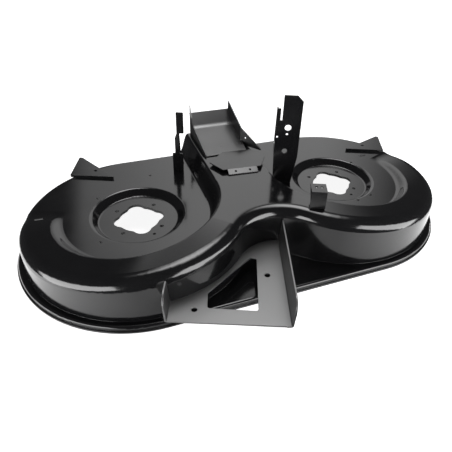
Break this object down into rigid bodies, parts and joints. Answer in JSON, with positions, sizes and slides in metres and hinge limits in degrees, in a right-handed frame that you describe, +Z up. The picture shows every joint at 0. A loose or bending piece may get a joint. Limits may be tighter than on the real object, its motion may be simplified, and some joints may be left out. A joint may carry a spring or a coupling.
{
  "type": "lawn mower deck",
  "caption": "Pressed steel lawn mower deck with domed blade chambers, sunken lobed spindle seats, a rear discharge tunnel with deflector, and welded lift and front brackets.",
  "frame": {"origin": "middle of the whole deck's footprint, on the plane of the rim's lower edge", "axes": "+X along the spindle line to the right spindle, +Y to the rear where the discharge mouth is, +Z up"},
  "size_m": [1.052, 0.6752, 0.319],
  "materials": {
    "black_paint": "gloss black paint"
  },
  "bodies": {
    "root": {"deck_shell": "black_paint", "spindle_doubler_left": "black_paint", "spindle_doubler_right": "black_paint", "front_bracket": "black_paint", "left_rear_tab": "black_paint", "right_rear_tab": "black_paint", "left_lift_bracket": "black_paint", "right_lift_bracket": "black_paint", "tunnel_cover": "black_paint", "discharge_chute": "black_paint", "belt_keeper": "black_paint"}
  },
  "joints": []
}
